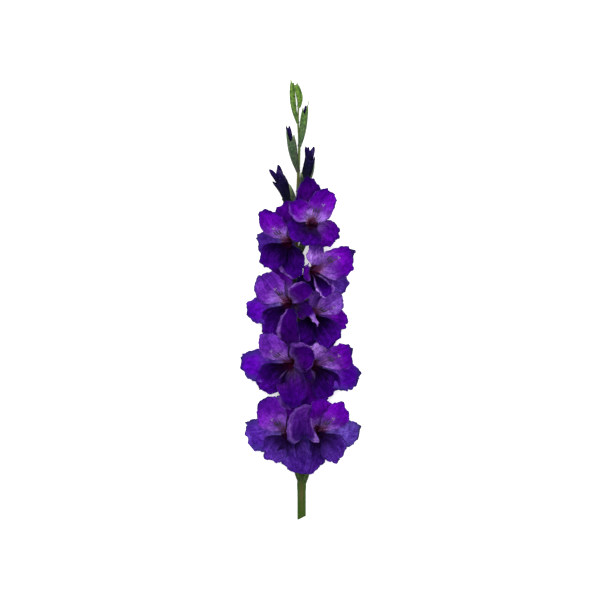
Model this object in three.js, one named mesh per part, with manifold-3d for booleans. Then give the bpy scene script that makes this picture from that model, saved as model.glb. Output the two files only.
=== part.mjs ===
// A cut gladiolus spike lying on its back on a flat surface, in millimetres.
// +Y runs along the stem towards its tip, +Z is up, and the open blooms face up.
// The stem carries nine open blooms and six buds, on alternate sides. Each bloom has a
// perianth (a tube that opens into six tepals), three stamens with a style, and a pair of
// green bracts that sheathe the tube. Each bud has its own bracts, and the four oldest
// show their furled tepals.
import * as THREE from "three";
import Module from "manifold-3d";
import { mergeVertices } from "three/addons/utils/BufferGeometryUtils.js";

const wasm = await Module();
wasm.setup();

// Driving dimensions
const STEM_FOOT_Y = -306; // middle of the slanting cut
const STEM_TOP_Y = 277;
const STEM_FOOT_RADIUS = 6;
const STEM_TOP_RADIUS = 1.1;
const STEM_SIDES = 12;
const STEM_STEP = 34; // distance between the stem's rings
const CUT_SLANT = 0.5; // rise of the cut along Y for each millimetre across X
const TAPER_FROM_Y = -240; // the stem lies flat on the surface below this
const STEM_LIFT = 8; // how far the petals hold the rest of it off the surface
const LIFT_TO_Y = -60;
const GAP = 0.35; // clearance between a piece and what carries it

const TUBE_SIDES = 8;
const TUBE_FOOT_RADIUS = 2.3;
const TUBE_TOP_RADIUS = 5.4;
const TUBE_STEPS = 5;
const TUBE_LEAD = [0.5, 1, 0.5]; // the way it leaves the stem: across, along and up
const TUBE_HANDLES = [0.4, 0.3]; // how far its curve keeps the way of each end, as shares
const FUNNEL_DEPTH = 14; // from the throat's plane down to the top of the tube
const FUNNEL_RADIUS = 4.4; // of the wall's middle, at the funnel's foot
const FUNNEL_HEIGHT = 6; // of the ring that joins the tepals
const FUNNEL_FLARE = 0.42; // growth of the funnel's radius for each millimetre up
const FUNNEL_WALL = 2.2;
const CAVITY_DEPTH = 3; // of the hollow below the funnel's foot

const TEPAL_THICKNESS = 0.8;
const TEPAL_ROWS = [0, 0.28, 0.56];
const END_SHARE = 0.54; // of a tepal past its last row but one, times how squarely it ends
const TEPAL_COLUMNS = [-1, -0.6, 0, 0.6, 1];
const TEPAL_ROOT_SHARE = 0.1; // width at the root, as a share of the widest
const WHORL_OFFSET = 0.62; // of the outer tepals' roots outwards, and the inner ones' inwards
const WHORL_ARCH = 0.15; // of the inner tepals' arch over the usual, and the outer ones' under
const RUFFLE = 2.6; // height of the waves along a tepal's edges
const RUFFLE_WAVES = 1.7;
const RUFFLE_SHIFT = 0.27; // of the waves from one tepal to the next, in wavelengths
const TIP_HANDLE = 0.35; // how far the midrib keeps the way of its tip, as a share
const ROLLED_SHARE = 0.4; // of a tepal's length, from the funnel's roll to the blade's cup

const ANTHER_LENGTH = 10;
const ANTHER_RADIUS = 1.15;
const ANTHER_HEIGHT = 15; // of the anthers above the throat's plane
const ANTHER_SPREAD = 3.6; // between neighbouring anthers
const ANTHER_SLOPE = 0.2; // of the outer anthers away from the middle one
const STALK_HANDLE = [9, 2]; // where a stalk's curve comes from, behind its end and below
const ROOT_SPREAD = 0.55; // of the filaments' feet, as a share of their plug's radius
const FILAMENT_RADIUS = 0.6;
const STYLE_RISE = 4; // of the style above the anthers
const STIGMA_RADIUS = 2.4; // of the three lobes that end the style

const BRACT_THICKNESS = 0.8;
const BRACT_ROOM = 1.2; // round the tube, whose curve is made of straight lengths
const BRACT_FLARE = 0.6; // how far its points stand off
const BRACT_ROWS = [0, 0.36, 0.7, 1];
const BRACT_SIDES = 8;
const BRACT_TURN = 0.6; // radians by which a bloom's outer bract turns up from the surface
const BRACT_TAPER = 1.5; // how quickly a bract narrows to its point
const BRACT_FOOT = 0.9; // radius of the pair where it leaves the stem, as a share
const BRACTS = [0.74, 0.62, 0.3]; // a bloom's usual, as BUDS gives them

const BUD_ROWS = [0, 0.2, 0.45, 0.7, 0.88, 1];
const BUD_SIDES = 9;
const BUD_FURROW = 0.18; // depth of the furrows between its lobes, as a share of the radius
const BUD_TWIST = 2.4; // radians by which the lobes wind round, from foot to tip
const BUD_HANDLE = 0.35; // how far its curve keeps the way of each end, as a share
const BUD_FOOT_SHARE = 0.38; // radius of its foot, as a share of its widest

const STEM_LOOK = { color: 0x5b7038, roughness: 0.55, metalness: 0 };
const BRACT_LOOK = { color: 0x76905a, roughness: 0.6, metalness: 0 };
const TEPAL_LOOK = { color: 0x4a108c, roughness: 0.6, metalness: 0 };
const BUD_LOOK = { color: 0x1f0f45, roughness: 0.55, metalness: 0 };
const STAMEN_LOOK = { color: 0x6d4a86, roughness: 0.6, metalness: 0 };

// The bends of the stem's centre line, x and y, foot first
const STEM_BENDS = [
  [2.2, -310], [2.1, -262], [2.4, -228], [1.5, -165], [-1, -92], [-3, -20], [-5.5, 58],
  [-4.5, 105], [-3, 152], [-2.2, 186], [-0.6, 218], [-3.4, 252], [-1.6, STEM_TOP_Y],
];

// Each bloom's throat is the middle of its mouth, and face is the way it looks. The tepals
// are listed clockwise from the top one, an outer one first and then an inner one by
// turns. Each gives its tip, half its width, and where it isn't the usual: arch, how far
// the midrib first runs forward as a share of its length; curl, the angle in degrees by
// which the tip bends back; cup, half the angle in radians that the blade is rolled
// across; widest, how far along it the blade has its full width; blunt, how squarely it
// ends; taper, how straight it narrows to its tip; sweep, how far its edges run on past
// the midrib; lean, how far its left edge alone does, while its right one falls back; via,
// the midrib's own two control points; and across, the tip's own way across.
const USUAL = {
  arch: 0.4, curl: 35, cup: 0.15, widest: 0.52, blunt: 3.4, taper: 0.56, sweep: 0, lean: 0,
};
const BLOOMS = [
  {
    node: -263, side: 1, throat: [29, -185, 42], face: [0.45, -0.12, 1],
    anthers: [31, -169], stigma: [38, -164],
    tepals: [
      { tip: [27, -137, 50], half: 22 },
      { tip: [60, -143, 48], half: 21 },
      { tip: [83, -187, 0.8], half: 22, curl: 55 },
      { tip: [56, -222, 22], half: 22 },
      { tip: [14, -244, 20], half: 27, widest: 0.38, via: [[18, -199, 37], [10, -226, 32]] },
      {
        tip: [6, -189, 64], half: 28, widest: 1.15, blunt: 12, sweep: 28,
        via: [[20, -151, 56], [0, -144, 78]], across: [1, 0, 0],
      },
    ],
  },
  {
    node: -258, side: -1, throat: [-20, -187, 42], face: [-0.45, -0.12, 1],
    anthers: [-25, -170], stigma: [-30, -165],
    tepals: [
      { tip: [-25, -130, 32], half: 22 },
      { tip: [0, -147, 46], half: 17 },
      { tip: [-4, -241, 38], half: 26, widest: 0.38, via: [[-10, -202, 51], [-2, -228, 47]] },
      { tip: [-43, -223, 22], half: 22 },
      { tip: [-76, -188, 0.8], half: 25, blunt: 4.2, curl: 55 },
      { tip: [-49, -137, 48], half: 24, lean: -5, blunt: 5 },
    ],
  },
  {
    node: -174, side: 1, throat: [25, -92, 44], face: [0.45, -0.12, 1],
    anthers: [37, -80], stigma: [45, -76],
    tepals: [
      { tip: [38, -58, 38], half: 22 },
      { tip: [73, -68, 42], half: 20, taper: 0.75, blunt: 5 },
      { tip: [81, -112, 0.8], half: 24, lean: -6, curl: 55 },
      { tip: [40, -137, 22], half: 24 },
      { tip: [8, -151, 26], half: 25, widest: 0.42, via: [[17, -106, 40], [8, -132, 34]] },
      { tip: [2, -96, 50], half: 20 },
    ],
  },
  {
    node: -155, side: -1, throat: [-17, -88, 44], face: [-0.45, -0.12, 1],
    anthers: [-26, -75], stigma: [-31, -70],
    tepals: [
      { tip: [-11, -11, 58], half: 17, blunt: 5 },
      { tip: [19, -72, 66], half: 24 },
      { tip: [-12, -149, 50], half: 25, widest: 0.42, via: [[-12, -104, 58], [-10, -130, 58]] },
      { tip: [-54, -125, 22], half: 23 },
      { tip: [-83, -92, 0.8], half: 25, curl: 55 },
      { tip: [-47, -46, 54], half: 20, lean: 6, blunt: 5 },
    ],
  },
  {
    node: -100, side: 1, throat: [20, -20, 46], face: [0.45, -0.12, 1],
    anthers: [26, -12], stigma: [38, -9],
    tepals: [
      { tip: [33, 16, 41], half: 17 },
      { tip: [58, 8, 46], half: 18 },
      { tip: [64, -34, 10], half: 22 },
      { tip: [46, -64, 42], half: 22 },
      { tip: [2, -66, 38], half: 23 },
      { tip: [-3, -10, 42], half: 15 },
    ],
  },
  {
    node: -85, side: -1, throat: [-20, -5, 46], face: [-0.45, -0.12, 1],
    anthers: [-22, 11], stigma: [-26, 16], bracts: [0.7, 0.54, 0.3],
    tepals: [
      { tip: [-30, 57, 26], half: 18 },
      { tip: [13, 21, 66], half: 15, lean: -5, taper: 0.5, blunt: 6 },
      {
        tip: [25, -37, 64], half: 12, widest: 0.3, blunt: 1.7, taper: 1,
        via: [[-2, -3, 60], [15, -13, 72]],
      },
      { tip: [-42, -52, 22], half: 24 },
      { tip: [-74, -19, 6], half: 21, curl: 55 },
      { tip: [-54, 34, 44], half: 24, blunt: 6 },
    ],
  },
  {
    node: -40, side: 1, throat: [22, 40, 46], face: [0.45, -0.12, 1],
    anthers: [36, 58], stigma: [45, 60],
    tepals: [
      { tip: [21, 84, 33], half: 15 },
      { tip: [75, 65, 42], half: 24, lean: 4, widest: 0.4 },
      { tip: [63, 14, 0.8], half: 21, curl: 55 },
      { tip: [37, 4, 64], half: 13, blunt: 7 },
      { tip: [2, 2, 30], half: 19 },
      { tip: [4, 38, 54], half: 11, blunt: 6 },
    ],
  },
  {
    node: 12, side: -1, throat: [-20, 80, 46], face: [-0.45, -0.12, 1],
    anthers: [-25, 95], stigma: [-28, 100], bracts: [0.55, 0.45, 0.3],
    tepals: [
      { tip: [-18, 138, 41], half: 20 },
      { tip: [2, 104, 32], half: 17 },
      { tip: [-4, 31, 48], half: 21 },
      { tip: [-48, 46, 40], half: 21 },
      { tip: [-60, 76, 0.8], half: 22, curl: 55 },
      { tip: [-44, 125, 46], half: 19, lean: 13, blunt: 7 },
    ],
  },
  {
    node: 56, side: 1, throat: [17, 106, 56], face: [0.1, -0.05, 1],
    anthers: [21, 125], stigma: [30, 131],
    tepals: [
      { tip: [10, 172, 50], half: 24, taper: 0.85, blunt: 3 },
      { tip: [39, 154, 52], half: 19, lean: -4, widest: 0.34, blunt: 5 },
      { tip: [50, 83, 36], half: 20, blunt: 6 },
      { tip: [10, 76, 56], half: 18, blunt: 5 },
      { tip: [-16, 92, 60], half: 17, blunt: 8 },
      { tip: [-11, 136, 66], half: 15, blunt: 7 },
    ],
  },
];

// Each bud runs from its node on the stem to its tip, and slopes are how steeply it leaves
// the stem and ends, across for each millimetre along. radius is that of its furled
// tepals at their widest, open is how far its points stand out, and turn is the angle in
// radians of one of them. bracts are the shares of its length that the outer and the
// inner bract cover, and where the two part, and bractTurn is how far the outer one turns
// up, in radians.
const BUDS = [
  {
    node: 112, side: -1, tip: [-34, 177, 26], slopes: [0.25, 0.6], radius: 8.4,
    open: 8, turn: 2.2, bracts: [0.5, 0.7, 0.3], bractTurn: -0.3,
  },
  {
    node: 150, side: 1, tip: [13, 208, 24], slopes: [0.75, 0], radius: 7,
    open: 6, turn: 0.3, bracts: [0.84, 0.5, 0.3], bractTurn: -0.2,
  },
  {
    node: 180, side: -1, tip: [-16, 241, 20], slopes: [0.4, 0.25], radius: 3.7,
    open: 1.5, turn: 1.2, bracts: [1.1, 0.84, 0.7], bractTurn: -0.2,
  },
  {
    node: 215, side: 1, tip: [8.5, 272, 18], slopes: [0.3, 0.2], radius: 2.6,
    open: 0, turn: 0, bracts: [1.14, 0.95, 0.8], bractTurn: 0.6,
  },
  {
    node: 248, side: -1, tip: [-11, 304, 11], slopes: [0.4, 0], radius: 2.2,
    open: 0, turn: 0, bracts: [1.1, 1.02, 0.98], bractTurn: 0.6,
  },
  {
    node: 270, side: 1, tip: [-5, 301, 21], slopes: [0.45, -0.3], radius: 2.8,
    open: 0, turn: 0, bracts: [1.1, 1.02, 0.98], bractTurn: 0.6,
  },
];

const vector = (xyz) => new THREE.Vector3(...xyz);
const mix = (a, b, share) => a + (b - a) * share;
const clamp = (value) => Math.min(1, Math.max(0, value));
const smooth = (value) => clamp(value) ** 2 * (3 - 2 * clamp(value));

// A point that lies given distances from start along given directions
function place(start, ...steps) {
  const point = start.clone();
  for (const [direction, distance] of steps) point.addScaledVector(direction, distance);
  return point;
}

// The part of a vector that lies square to a direction, at unit length
function square(value, direction) {
  return value.clone().addScaledVector(direction, -value.dot(direction)).normalize();
}

function geometryOf(points, faces) {
  const geometry = new THREE.BufferGeometry().setFromPoints(points);
  geometry.setIndex(faces.flat());
  return geometry;
}

// A closed body through rings of points, all listed the same way round. It is capped at
// both ends, or else its last ring is joined to its first.
function loft(rings, looped = false) {
  const sides = rings[0].length;
  const points = rings.flat();
  const faces = [];
  const spans = looped ? rings.length : rings.length - 1;
  for (let ring = 0; ring < spans; ring += 1) {
    const next = ((ring + 1) % rings.length) * sides;
    for (let side = 0; side < sides; side += 1) {
      const after = (side + 1) % sides;
      const a = ring * sides + side;
      const b = ring * sides + after;
      faces.push([a, b, next + after], [a, next + after, next + side]);
    }
  }
  if (looped) return geometryOf(points, faces);
  const middle = (ring) => {
    const sum = ring.reduce((total, point) => total.add(point), new THREE.Vector3());
    return sum.divideScalar(sides);
  };
  const last = (rings.length - 1) * sides;
  points.push(middle(rings[0]), middle(rings.at(-1)));
  for (let side = 0; side < sides; side += 1) {
    const next = (side + 1) % sides;
    faces.push([points.length - 2, next, side]);
    faces.push([points.length - 1, last + side, last + next]);
  }
  return geometryOf(points, faces);
}

// A thin blade of even thickness round the surface that pointAt gives, with both its
// faces split into triangles alike
function blade(pointAt, columns, rows, thickness) {
  const width = columns.length;
  const front = [];
  const back = [];
  for (const v of rows) {
    for (const u of columns) {
      const step = 0.01;
      const along = pointAt(u, Math.min(1, v + step)).sub(pointAt(u, Math.max(0, v - step)));
      const across = pointAt(u + step, v).sub(pointAt(u - step, v));
      const normal = across.cross(along).normalize();
      front.push(place(pointAt(u, v), [normal, thickness / 2]));
      back.push(place(pointAt(u, v), [normal, -thickness / 2]));
    }
  }
  const faces = [];
  const under = front.length;
  for (let row = 0; row + 1 < rows.length; row += 1) {
    for (let column = 0; column + 1 < width; column += 1) {
      const a = row * width + column;
      const corners = [a, a + 1, a + 1 + width, a + width];
      const [p, q, r, s] = column * 2 + 1 < width - 1 ? corners : [...corners.slice(1), a];
      for (const [i, j, k] of [[p, q, r], [p, r, s]]) {
        faces.push([i, j, k], [k + under, j + under, i + under]);
      }
    }
  }
  const rim = [];
  const last = (rows.length - 1) * width;
  for (let column = 0; column + 1 < width; column += 1) rim.push(column);
  for (let start = 0; start < last; start += width) rim.push(start + width - 1);
  for (let column = width - 1; column > 0; column -= 1) rim.push(last + column);
  for (let start = last; start > 0; start -= width) rim.push(start);
  rim.forEach((from, index) => {
    const to = rim[(index + 1) % rim.length];
    faces.push([to, from, from + under], [to, from + under, to + under]);
  });
  return geometryOf([...front, ...back], faces);
}

// Joins and cuts work on solids, made from a closed geometry
function solidOf(geometry) {
  const merged = mergeVertices(geometry, 1e-4);
  return new wasm.Manifold(new wasm.Mesh({
    numProp: 3,
    vertProperties: new Float32Array(merged.attributes.position.array),
    triVerts: new Uint32Array(merged.index.array),
  }));
}

const join = (geometries) => geometries.map(solidOf).reduce((a, b) => a.add(b));

// The largest body of a solid as a mesh, so that no scrap of a cut stays behind
function pieceOf(name, solid, look) {
  const bodies = solid.decompose().sort((a, b) => b.volume() - a.volume());
  const mesh = bodies[0].getMesh();
  const geometry = new THREE.BufferGeometry();
  geometry.setAttribute("position", new THREE.BufferAttribute(mesh.vertProperties, mesh.numProp));
  geometry.setIndex(new THREE.BufferAttribute(mesh.triVerts, 1));
  const flat = geometry.toNonIndexed();
  flat.computeVertexNormals();
  const piece = new THREE.Mesh(flat, new THREE.MeshStandardMaterial(look));
  piece.name = name;
  return piece;
}

// The stem's centre at a height along it, and its radius there
function stemAt(y) {
  const after = Math.max(1, STEM_BENDS.findIndex(([, bendY]) => bendY >= y));
  const [[xa, ya], [xb, yb]] = STEM_BENDS.slice(after - 1, after + 1);
  const lift = STEM_LIFT * smooth((y - TAPER_FROM_Y) / (LIFT_TO_Y - TAPER_FROM_Y));
  const floor = STEM_FOOT_RADIUS * Math.cos(Math.PI / STEM_SIDES);
  return new THREE.Vector3(mix(xa, xb, (y - ya) / (yb - ya)), y, floor + lift);
}

function stemRadius(y) {
  const share = clamp((y - TAPER_FROM_Y) / (STEM_TOP_Y - TAPER_FROM_Y));
  return mix(STEM_FOOT_RADIUS, STEM_TOP_RADIUS, share ** 1.2);
}

// The stem, its sides moved out by extra millimetres
function stemGeometry(extra) {
  const steps = Math.round((STEM_TOP_Y - STEM_FOOT_Y) / STEM_STEP);
  const rings = [];
  for (let step = 0; step <= steps; step += 1) {
    const y = mix(STEM_FOOT_Y, STEM_TOP_Y + extra, step / steps);
    const centre = stemAt(Math.min(y, STEM_TOP_Y));
    const ring = [];
    for (let side = 0; side < STEM_SIDES; side += 1) {
      const angle = (-2 * Math.PI * (side + 0.5)) / STEM_SIDES;
      const reach = stemRadius(y) + extra;
      const x = centre.x + reach * Math.cos(angle);
      const slant = step === 0 ? CUT_SLANT * (x - centre.x) : 0;
      ring.push(new THREE.Vector3(x, y + slant, centre.z + reach * Math.sin(angle)));
    }
    rings.push(ring);
  }
  return loft(rings);
}

// A ring of points round a centre, square to a direction. radius is a number, or gives one
// for each angle.
function ringAt(centre, direction, radius, sides) {
  const first = square(new THREE.Vector3(1, 0, 0), direction);
  const second = direction.clone().cross(first);
  const ring = [];
  for (let side = 0; side < sides; side += 1) {
    const angle = (2 * Math.PI * side) / sides;
    const reach = typeof radius === "function" ? radius(angle) : radius;
    ring.push(place(centre, [first, reach * Math.cos(angle)], [second, reach * Math.sin(angle)]));
  }
  return ring;
}

// A rod along a curve, with a radius for each share of its length that is listed
function rod(curve, stops, sides) {
  const rings = stops.map(([share, radius]) => (
    ringAt(curve.getPoint(share), curve.getTangent(share), radius, sides)
  ));
  return loft(rings);
}

const axisOf = (bloom) => vector(bloom.face).normalize();
const funnelFoot = (bloom) => place(vector(bloom.throat), [axisOf(bloom), -FUNNEL_DEPTH]);

// The curve of a bloom's tube, from the middle of the stem to the funnel's foot
function tubeCurve(bloom) {
  const start = stemAt(bloom.node);
  const end = funnelFoot(bloom);
  const length = start.distanceTo(end);
  const [across, along, up] = TUBE_LEAD;
  const lead = new THREE.Vector3(bloom.side * across, along, up).normalize();
  return new THREE.CubicBezierCurve3(
    start,
    place(start, [lead, length * TUBE_HANDLES[0]]),
    place(end, [axisOf(bloom), -length * TUBE_HANDLES[1]]),
    end,
  );
}

// The radius of the funnel's outer face, outward 1, or its inner face, outward -1
const wallRadius = (height, outward) => (
  FUNNEL_RADIUS + FUNNEL_FLARE * height + (outward * FUNNEL_WALL) / 2
);

const tubeRadius = (share) => mix(TUBE_FOOT_RADIUS, TUBE_TOP_RADIUS, share ** 1.5);

// The tube and the funnel above it, open at the top and hollow down to the stamens' foot
function tubeGeometry(bloom) {
  const curve = tubeCurve(bloom);
  const axis = axisOf(bloom);
  const foot = funnelFoot(bloom);
  const rings = [];
  for (let step = 0; step <= TUBE_STEPS; step += 1) {
    const share = step / TUBE_STEPS;
    const way = curve.getTangent(share);
    rings.push(ringAt(curve.getPoint(share), way, tubeRadius(share), TUBE_SIDES));
  }
  const wall = (height, outward) => (
    ringAt(place(foot, [axis, height]), axis, wallRadius(height, outward), TUBE_SIDES)
  );
  rings.push(wall(FUNNEL_HEIGHT, 1), wall(FUNNEL_HEIGHT, -1), wall(0, -1), wall(-CAVITY_DEPTH, -1));
  return loft(rings);
}

// The width of a tepal along its length, as a share of its widest
function outline(v, widest, blunt, taper) {
  const rise = mix(TEPAL_ROOT_SHARE, 1, smooth(v / widest));
  return Math.max(0.07, rise * (1 - clamp(v) ** blunt) ** taper);
}

// The surface of one tepal: u runs from edge to edge, and v from root to tip
function tepalSurface(bloom, tepal, index) {
  const whorl = index % 2 === 0 ? 1 : -1;
  const usual = { ...USUAL, arch: USUAL.arch - whorl * WHORL_ARCH };
  const form = { ...usual, ...tepal };
  const { half, arch, curl, cup, widest, blunt, taper, sweep, lean, via, across } = form;
  const axis = axisOf(bloom);
  const foot = funnelFoot(bloom);
  const tip = vector(tepal.tip);
  const outward = square((via ? vector(via[0]) : tip).clone().sub(foot), axis);
  const tipOutward = square(tip.clone().sub(foot), axis);
  const root = place(foot, [outward, FUNNEL_RADIUS + whorl * WHORL_OFFSET]);
  const length = root.distanceTo(tip);
  const flare = Math.atan(FUNNEL_FLARE);
  const bend = THREE.MathUtils.degToRad(curl);
  const climb = arch * length;
  const rise = [[axis, Math.cos(flare) * climb], [outward, Math.sin(flare) * climb]];
  const handle = TIP_HANDLE * length;
  const fall = [[tipOutward, -Math.cos(bend) * handle], [axis, Math.sin(bend) * handle]];
  const midrib = new THREE.CubicBezierCurve3(
    root,
    via ? vector(via[0]) : place(root, ...rise),
    via ? vector(via[1]) : place(tip, ...fall),
    tip,
  );
  const rootAcross = axis.clone().cross(outward);
  const tipAcross = across ? vector(across) : rootAcross;
  return (u, v) => {
    const along = midrib.getTangent(clamp(v));
    const side = square(rootAcross.clone().lerp(tipAcross, smooth(v)), along);
    const up = along.clone().cross(side);
    const width = outline(v, widest, blunt, taper);
    const reach = half * width;
    const roll = mix(reach / FUNNEL_RADIUS, cup, smooth(v / ROLLED_SHARE));
    const turns = RUFFLE_WAVES * v + RUFFLE_SHIFT * index;
    const wave = Math.sin(2 * Math.PI * turns + Math.sign(u));
    const ruffle = RUFFLE * Math.abs(u) ** 2 * smooth(v / 0.5) * wave;
    return place(
      midrib.getPoint(clamp(v)),
      [side, (reach * Math.sin(roll * u)) / roll],
      [up, (reach * (1 - Math.cos(roll * u))) / roll + ruffle],
      [along, (sweep * Math.abs(u) + lean * u) * smooth(v) * width],
    );
  };
}

function tepalGeometry(bloom, tepal, index) {
  const { blunt } = { ...USUAL, ...tepal };
  const rows = [...TEPAL_ROWS, 1 - END_SHARE / blunt, 1];
  return blade(tepalSurface(bloom, tepal, index), TEPAL_COLUMNS, rows, TEPAL_THICKNESS);
}

function perianthSolid(bloom) {
  const tepals = bloom.tepals.map((tepal, index) => tepalGeometry(bloom, tepal, index));
  return join([tubeGeometry(bloom), ...tepals]);
}

// Three stamens and a style, which rise from one foot at the bottom of the funnel. A
// stamen is a thin filament that ends in a long anther, and the style ends in three lobes.
function stamensSolid(bloom) {
  const axis = axisOf(bloom);
  const foot = funnelFoot(bloom);
  const throat = vector(bloom.throat);
  const plug = new THREE.LineCurve3(place(foot, [axis, GAP - CAVITY_DEPTH]), foot);
  const [floorRadius, footRadius] = [-CAVITY_DEPTH, 0].map((height) => (
    wallRadius(height, -1) * Math.cos(Math.PI / TUBE_SIDES) - GAP
  ));
  const parts = [rod(plug, [[0, floorRadius], [1, footRadius]], 6)];
  const head = (xy, height) => place(new THREE.Vector3(...xy, throat.z), [axis, height]);
  const middle = head(bloom.anthers, ANTHER_HEIGHT);
  const lean = middle.clone().sub(throat).normalize();
  const across = axis.clone().cross(lean).normalize();
  const stalk = (start, end, away) => new THREE.CubicBezierCurve3(
    start,
    place(throat, [axis, 1], away),
    place(end, [lean, -STALK_HANDLE[0]], [axis, -STALK_HANDLE[1]]),
    end,
  );
  for (const turn of [-1, 0, 1]) {
    const away = [across, turn * footRadius * ROOT_SPREAD];
    const start = place(foot, [axis, -1], away, [lean, turn === 0 ? 1.2 : 0]);
    const way = place(lean, [across, turn * ANTHER_SLOPE]).normalize();
    const end = place(middle, [across, turn * ANTHER_SPREAD], [way, ANTHER_LENGTH / 2]);
    const curve = stalk(start, end, away);
    const neck = 1 - ANTHER_LENGTH / curve.getLength();
    const thin = [0, neck / 2, neck].map((share) => [share, FILAMENT_RADIUS]);
    const thick = [[neck + 0.07, ANTHER_RADIUS], [1, ANTHER_RADIUS * 0.6]];
    parts.push(rod(curve, [...thin, ...thick], 3));
  }
  const stigma = head(bloom.stigma, ANTHER_HEIGHT + STYLE_RISE);
  const behind = [lean, -footRadius * ROOT_SPREAD];
  const style = stalk(place(foot, [axis, -1], behind), stigma, behind);
  const slim = [0, 0.45, 0.9].map((share) => [share, FILAMENT_RADIUS]);
  parts.push(rod(style, [...slim, [1, STIGMA_RADIUS]], 3));
  return join(parts);
}

// A pair of bracts sheathes the curve of a tube or bud, whose radius is given along it.
// They are joined at the foot, and part into a point on the outside, away from the stem,
// and one on the inside. reaches are the shares of the curve that the outer and inner
// bract cover, and where they part, and up is how far the outer one turns up, in radians.
function bractsSolid(side, curve, radiusAt, reaches, up) {
  const outward = side > 0 ? -up : Math.PI + up;
  const pointAt = (column, v, layer) => {
    const turn = (2 * Math.PI * column) / BRACT_SIDES;
    const apart = Math.abs(Math.cos(turn)) ** BRACT_TAPER;
    const point = reaches[Math.cos(turn) > 0 ? 0 : 1];
    const share = v * mix(reaches[2], point, apart);
    const direction = curve.getTangent(clamp(share));
    const centre = curve.getPoint(clamp(share));
    centre.addScaledVector(direction, Math.max(0, share - 1) * curve.getLength());
    const first = square(new THREE.Vector3(1, 0, 0), direction);
    const second = direction.clone().cross(first);
    const inner = (radiusAt(clamp(share)) + BRACT_ROOM) * mix(BRACT_FOOT, 1, smooth(v / 0.3));
    const radius = inner + layer * BRACT_THICKNESS + BRACT_FLARE * v ** 2;
    const angle = outward + turn;
    return place(centre, [first, radius * Math.cos(angle)], [second, radius * Math.sin(angle)]);
  };
  const ring = (v, layer) => {
    const points = [];
    for (let column = 0; column < BRACT_SIDES; column += 1) points.push(pointAt(column, v, layer));
    return points;
  };
  const outside = BRACT_ROWS.map((v) => ring(v, 1));
  const inside = BRACT_ROWS.map((v) => ring(v, 0)).reverse();
  return solidOf(loft([...outside, ...inside], true));
}

// The curve of a bud, from the middle of the stem to its tip
function budCurve(bud) {
  const start = stemAt(bud.node);
  const end = vector(bud.tip);
  const length = start.distanceTo(end);
  const [lead, close] = bud.slopes.map((slope) => (
    new THREE.Vector3(bud.side * slope, 1, 0.1).normalize()
  ));
  return new THREE.CubicBezierCurve3(
    start,
    place(start, [lead, length * BUD_HANDLE]),
    place(end, [close, -length * BUD_HANDLE]),
    end,
  );
}

// The radius of a bud's furled tepals along it: slim at the foot and pointed at the tip
function budRadius(bud, share) {
  const swell = mix(BUD_FOOT_SHARE, 1, smooth(share / 0.6));
  return bud.radius * swell * Math.max(0.1, Math.sqrt(1 - share ** 4));
}

// The furled tepals of a bud, as three lobes that wind round each other. open is how far
// their points stand out and forward of the rest, in millimetres.
function budGeometry(bud) {
  const curve = budCurve(bud);
  const rings = BUD_ROWS.map((share) => {
    const direction = curve.getTangent(share);
    const lobe = (angle) => (1 + Math.cos(3 * (angle - bud.turn) - BUD_TWIST * (1 - share))) / 2;
    const spread = bud.open * smooth((share - 0.75) / 0.25);
    const radius = (angle) => (
      budRadius(bud, share) * mix(1 - BUD_FURROW, 1, lobe(angle)) + spread * lobe(angle)
    );
    const ring = ringAt(curve.getPoint(share), direction, radius, BUD_SIDES);
    ring.forEach((point, side) => {
      point.addScaledVector(direction, 1.2 * spread * lobe((2 * Math.PI * side) / BUD_SIDES));
    });
    return ring;
  });
  return loft(rings);
}

const gladiolus = new THREE.Group();
const stemSolid = solidOf(stemGeometry(0));
const stemRoom = solidOf(stemGeometry(GAP));
gladiolus.add(pieceOf("stem", stemSolid, STEM_LOOK));

BLOOMS.forEach((bloom, index) => {
  const name = `bloom_${index + 1}`;
  const reaches = bloom.bracts ?? BRACTS;
  const perianth = perianthSolid(bloom).subtract(stemRoom);
  const bracts = bractsSolid(bloom.side, tubeCurve(bloom), tubeRadius, reaches, BRACT_TURN);
  gladiolus.add(pieceOf(`${name}_perianth`, perianth, TEPAL_LOOK));
  gladiolus.add(pieceOf(`${name}_stamens`, stamensSolid(bloom), STAMEN_LOOK));
  gladiolus.add(pieceOf(`${name}_bracts`, bracts.subtract(stemRoom), BRACT_LOOK));
});

BUDS.forEach((bud, index) => {
  const name = `bud_${index + 1}`;
  const radiusAt = (share) => budRadius(bud, share);
  const petals = solidOf(budGeometry(bud)).subtract(stemRoom);
  const bracts = bractsSolid(bud.side, budCurve(bud), radiusAt, bud.bracts, bud.bractTurn);
  gladiolus.add(pieceOf(`${name}_petals`, petals, BUD_LOOK));
  gladiolus.add(pieceOf(`${name}_bracts`, bracts.subtract(stemRoom), BRACT_LOOK));
});

export default gladiolus;
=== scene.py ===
"""The looks of a cut gladiolus spike that lies on its back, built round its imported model.

Places and sizes are in millimetres, in the model's own frame, and make_piece() turns them
into metres. +Y runs along the stem towards its tip, and +Z is up. Each finer piece follows
the formulas of the model's source with many more rows and columns, so it keeps the form of
the node it replaces, though tepals, bracts and filaments are thinner here. The tables of the
stem, the blooms and the buds are those of the model too, apart from what the notes above
BLOOMS and BUDS name.
"""
import math

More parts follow.
